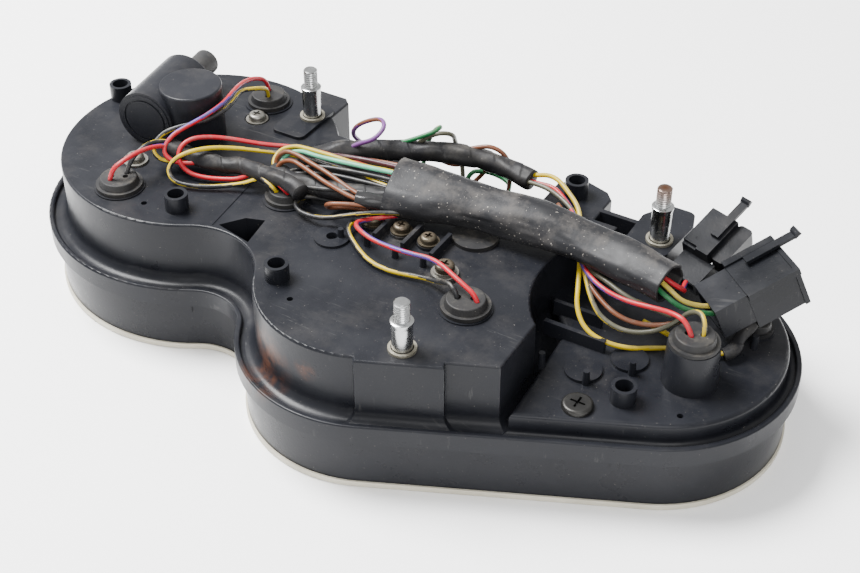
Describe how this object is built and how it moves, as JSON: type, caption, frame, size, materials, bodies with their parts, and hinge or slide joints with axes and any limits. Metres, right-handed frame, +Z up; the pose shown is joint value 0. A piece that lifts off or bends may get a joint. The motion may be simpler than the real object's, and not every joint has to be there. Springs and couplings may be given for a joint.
{
  "type": "instrument cluster",
  "caption": "Motorcycle instrument cluster with round dials, moulded rear case, angle drive for the speedometer cable, lamp holders and a sleeved wiring harness.",
  "frame": {"origin": "on the bench surface under the middle of the case, which lies face down on its rim", "axes": "+X along the long side from the speedometer to the small gauges, +Z up out of the back, so the dials face -Z and their tops point to -Y"},
  "size_m": [0.3284, 0.169, 0.0826],
  "materials": {
    "black_case": "satin moulded plastic with fine grain, dust and scuffs",
    "rim": "aged cream rubber",
    "clear": "clear polycarbonate",
    "seal_rubber": "matt rubber",
    "black_satin": "fine matt black",
    "tinted_lens": "tinted, see-through",
    "light_box": "white moulding",
    "cast_alloy": "sand-blasted die casting",
    "dial_print": "black with white markings",
    "needle_orange": "painted",
    "aluminium": "spun",
    "coil_can": "drawn can",
    "drum_plastic": "moulded",
    "bright_steel": "bright zinc",
    "gear_plastic": "natural nylon",
    "zinc_screws": "dull zinc",
    "rusty_screws": "tarnished zinc with rust",
    "holder_rubber": "matt rubber with dust",
    "bulb_glass": "clear",
    "connector_plastic": "smooth moulded nylon",
    "wire_vinyl": "coloured vinyl with stripes",
    "tape": "wound vinyl tape",
    "sleeve_vinyl": "soft vinyl tube, dusty"
  },
  "bodies": {
    "cluster": {"adjuster_plug": "seal_rubber", "cable_fitting": "cast_alloy", "case_screws": "zinc_screws", "case_seal": "seal_rubber", "connector_wires": "wire_vinyl", "cross_wires": "wire_vinyl", "deck_screws": "zinc_screws", "dial_mask": "black_satin", "drive_end_cap": "black_case", "drive_housing": "black_case", "drum_shafts": "bright_steel", "electric_movements": "coil_can", "front_case": "black_case", "gauge_dial": "dial_print", "gauge_frame": "cast_alloy", "gauge_wires": "wire_vinyl", "ground_screw": "rusty_screws", "harness_sleeve": "sleeve_vinyl", "indicator_lenses": "tinted_lens", "indicator_light_box": "light_box", "lamp_bulbs": "bulb_glass", "lamp_wires": "wire_vinyl", "large_connector": "connector_plastic", "large_lamp_holders": "holder_rubber", "lens": "clear", "mounting_studs": "bright_steel", "rear_case": "black_case", "rim_gasket": "rim", "screw_washers": "zinc_screws", "small_connector": "connector_plastic", "small_lamp_holders": "holder_rubber", "speedometer_dial": "dial_print", "speedometer_frame": "cast_alloy", "speedometer_lamp_wires": "wire_vinyl", "stud_rings": "bright_steel", "tachometer_dial": "dial_print", "tachometer_frame": "cast_alloy", "taped_branch": "tape", "taped_link": "tape", "terminal_screws": "rusty_screws", "terminal_tags": "rusty_screws"},
    "speedometer_pointer": {"speedometer_needle": "needle_orange", "speed_cup": "aluminium"},
    "tachometer_pointer": {"tachometer_needle": "needle_orange"},
    "temperature_pointer": {"temperature_needle": "needle_orange"},
    "fuel_pointer": {"fuel_needle": "needle_orange"},
    "cable_input": {"input_shaft": "bright_steel"},
    "magnet_drive": {"magnet_spindle": "bright_steel"},
    "drum_drive": {"worm_wheel": "gear_plastic"},
    "trip_reset": {"trip_reset_knob": "black_satin"},
    "small_latch": {"small_connector_latch": "connector_plastic"},
    "large_latch": {"large_connector_latch": "connector_plastic"},
    "odometer_1": {"odometer_drum_1": "drum_plastic"},
    "odometer_2": {"odometer_drum_2": "drum_plastic"},
    "odometer_3": {"odometer_drum_3": "drum_plastic"},
    "odometer_4": {"odometer_drum_4": "drum_plastic"},
    "odometer_5": {"odometer_drum_5": "drum_plastic"},
    "trip_1": {"trip_drum_1": "drum_plastic"},
    "trip_2": {"trip_drum_2": "drum_plastic"},
    "trip_3": {"trip_drum_3": "drum_plastic"}
  },
  "joints": [
    {"name": "cable_input_spin", "type": "hinge", "parent": "cluster", "child": "cable_input", "pos_m": [-0.1189, 0.015, 0.07], "axis": [-0.1392, 0.9903, 0], "continuous": true},
    {"name": "magnet_spin", "type": "hinge", "parent": "cluster", "child": "magnet_drive", "pos_m": [-0.1045, 0.015, 0.04], "axis": [0, 0, 1], "continuous": true},
    {"name": "drum_drive_spin", "type": "hinge", "parent": "cluster", "child": "drum_drive", "pos_m": [-0.1045, 0.0229, 0.0465], "axis": [1, 0, 0], "continuous": true},
    {"name": "speedometer_sweep", "type": "hinge", "parent": "cluster", "child": "speedometer_pointer", "pos_m": [-0.1045, 0.015, 0.011], "axis": [0, 0, 1], "range_deg": [0, 260], "stiffness_Nm_per_rad": 0.0002},
    {"name": "tachometer_sweep", "type": "hinge", "parent": "cluster", "child": "tachometer_pointer", "pos_m": [0.013, -0.031, 0.011], "axis": [0, 0, 1], "range_deg": [0, 250], "stiffness_Nm_per_rad": 0.0002},
    {"name": "temperature_sweep", "type": "hinge", "parent": "cluster", "child": "temperature_pointer", "pos_m": [0.09, 0.02, 0.011], "axis": [0, 0, 1], "range_deg": [0, 100]},
    {"name": "fuel_sweep", "type": "hinge", "parent": "cluster", "child": "fuel_pointer", "pos_m": [0.127, 0.02, 0.011], "axis": [0, 0, 1], "range_deg": [0, 100]},
    {"name": "odometer_1_spin", "type": "hinge", "parent": "cluster", "child": "odometer_1", "pos_m": [-0.0971, -0.003, 0.0216], "axis": [1, 0, 0], "continuous": true},
    {"name": "odometer_2_spin", "type": "hinge", "parent": "cluster", "child": "odometer_2", "pos_m": [-0.1008, -0.003, 0.0216], "axis": [1, 0, 0], "continuous": true},
    {"name": "odometer_3_spin", "type": "hinge", "parent": "cluster", "child": "odometer_3", "pos_m": [-0.1045, -0.003, 0.0216], "axis": [1, 0, 0], "continuous": true},
    {"name": "odometer_4_spin", "type": "hinge", "parent": "cluster", "child": "odometer_4", "pos_m": [-0.1082, -0.003, 0.0216], "axis": [1, 0, 0], "continuous": true},
    {"name": "odometer_5_spin", "type": "hinge", "parent": "cluster", "child": "odometer_5", "pos_m": [-0.1119, -0.003, 0.0216], "axis": [1, 0, 0], "continuous": true},
    {"name": "trip_1_spin", "type": "hinge", "parent": "cluster", "child": "trip_1", "pos_m": [-0.1008, 0.0365, 0.0216], "axis": [1, 0, 0], "continuous": true},
    {"name": "trip_2_spin", "type": "hinge", "parent": "cluster", "child": "trip_2", "pos_m": [-0.1045, 0.0365, 0.0216], "axis": [1, 0, 0], "continuous": true},
    {"name": "trip_3_spin", "type": "hinge", "parent": "cluster", "child": "trip_3", "pos_m": [-0.1082, 0.0365, 0.0216], "axis": [1, 0, 0], "continuous": true},
    {"name": "trip_reset_press", "type": "slide", "parent": "cluster", "child": "trip_reset", "axis": [0, -1, 0], "range_m": [0, 0.003], "stiffness_N_per_m": 300},
    {"name": "small_latch_flex", "type": "hinge", "parent": "cluster", "child": "small_latch", "pos_m": [0.11574, 0.04771, 0.06596], "axis": [0.9654, -0.2537, -0.0606], "range_deg": [0, 6], "stiffness_Nm_per_rad": 0.4},
    {"name": "large_latch_flex", "type": "hinge", "parent": "cluster", "child": "large_latch", "pos_m": [0.13231, 0.03649, 0.06801], "axis": [0.7203, -0.6895, 0.0754], "range_deg": [0, 6], "stiffness_Nm_per_rad": 0.4}
  ],
  "couplings": [
    {"joint": "magnet_spin", "follows": "cable_input_spin", "ratio": -0.55556},
    {"joint": "drum_drive_spin", "follows": "cable_input_spin", "ratio": 0.034722},
    {"joint": "odometer_1_spin", "follows": "cable_input_spin", "ratio": -0.017361},
    {"joint": "odometer_2_spin", "follows": "cable_input_spin", "ratio": -0.0017361},
    {"joint": "odometer_3_spin", "follows": "cable_input_spin", "ratio": -0.00017361},
    {"joint": "odometer_4_spin", "follows": "cable_input_spin", "ratio": -0.000017361},
    {"joint": "odometer_5_spin", "follows": "cable_input_spin", "ratio": -0.000001736},
    {"joint": "trip_1_spin", "follows": "cable_input_spin", "ratio": -0.017361},
    {"joint": "trip_2_spin", "follows": "cable_input_spin", "ratio": -0.0017361},
    {"joint": "trip_3_spin", "follows": "cable_input_spin", "ratio": -0.00017361}
  ]
}
